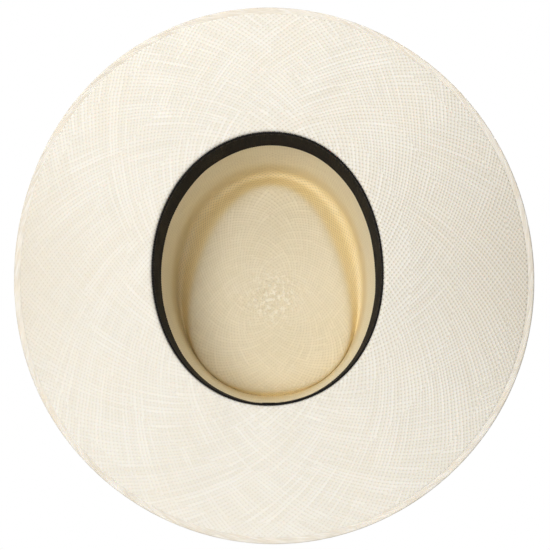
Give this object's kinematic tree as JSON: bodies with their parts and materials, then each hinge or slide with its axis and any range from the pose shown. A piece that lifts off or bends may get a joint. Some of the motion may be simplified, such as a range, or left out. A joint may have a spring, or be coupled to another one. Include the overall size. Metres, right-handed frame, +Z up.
{
  "type": "panama hat",
  "caption": "Wide-brimmed woven straw hat with a leaning crown wall, rounded rim and sunken egg-shaped tip, black inner band, black outer ribbon and flat side bow.",
  "frame": {"origin": "on the crown's vertical axis, in the plane that the brim rests on", "axes": "+Z up towards the crown's tip, -Y to the front of the hat, +X to the wearer's left"},
  "size_m": [0.3831, 0.3918, 0.1164],
  "materials": {
    "straw": "fine plain-woven toquilla straw, semi-matt",
    "straw_edge": "back-woven and rolled straw edge",
    "sweatband_cloth": "ribbed cloth band, dull",
    "ribbon_cloth": "ribbed grosgrain ribbon, slight sheen",
    "thread": "twisted sewing thread",
    "reed_plastic": "flexible bead"
  },
  "bodies": {
    "root": {"straw_body": "straw", "brim_edge_roll": "straw_edge", "sweatband": "sweatband_cloth", "sweatband_reed": "reed_plastic", "sweatband_stitches": "thread", "sweatband_joint_tape": "sweatband_cloth", "hatband": "ribbon_cloth", "hatband_tacks": "thread", "bow_tails": "ribbon_cloth", "bow_front_loop": "ribbon_cloth", "bow_rear_loop": "ribbon_cloth", "bow_knot": "ribbon_cloth"}
  },
  "joints": []
}
